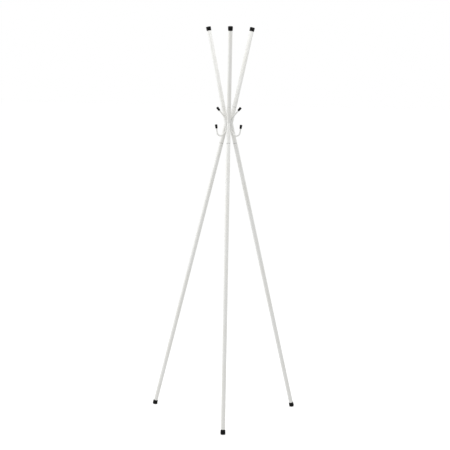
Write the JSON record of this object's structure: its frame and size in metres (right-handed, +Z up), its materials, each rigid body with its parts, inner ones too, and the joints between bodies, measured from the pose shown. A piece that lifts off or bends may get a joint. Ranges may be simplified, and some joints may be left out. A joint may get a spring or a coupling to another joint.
{
  "type": "standing coat rack",
  "caption": "Tall tripod coat stand of three bent steel tubes joined at a narrow waist, with capped arms and bent-rod double hooks.",
  "frame": {"origin": "the point of the floor on the stand's upright axis, midway between the feet", "axes": "+Z up along the upright axis; -Y towards the front leg; +X to the right as seen from the front"},
  "size_m": [0.6402, 0.5573, 1.7],
  "materials": {
    "white_steel": "satin white powder coat",
    "black_cap": "moulded black plastic, fine grain",
    "black_foot": "moulded black plastic, scuffed at the floor"
  },
  "bodies": {
    "root": {"hub_tube_front": "white_steel", "arm_front": "white_steel", "leg_front": "white_steel", "arm_cap_front": "black_cap", "foot_front": "black_foot", "hub_tube_left": "white_steel", "arm_left": "white_steel", "leg_left": "white_steel", "arm_cap_left": "black_cap", "foot_left": "black_foot", "hub_tube_right": "white_steel", "arm_right": "white_steel", "leg_right": "white_steel", "arm_cap_right": "black_cap", "foot_right": "black_foot", "double_hook_left": "white_steel", "hook_welds_left": "white_steel", "upper_hook_cap_left": "black_cap", "lower_hook_cap_left": "black_cap", "double_hook_right": "white_steel", "hook_welds_right": "white_steel", "upper_hook_cap_right": "black_cap", "lower_hook_cap_right": "black_cap", "double_hook_back": "white_steel", "hook_welds_back": "white_steel", "upper_hook_cap_back": "black_cap", "lower_hook_cap_back": "black_cap"}
  },
  "joints": []
}
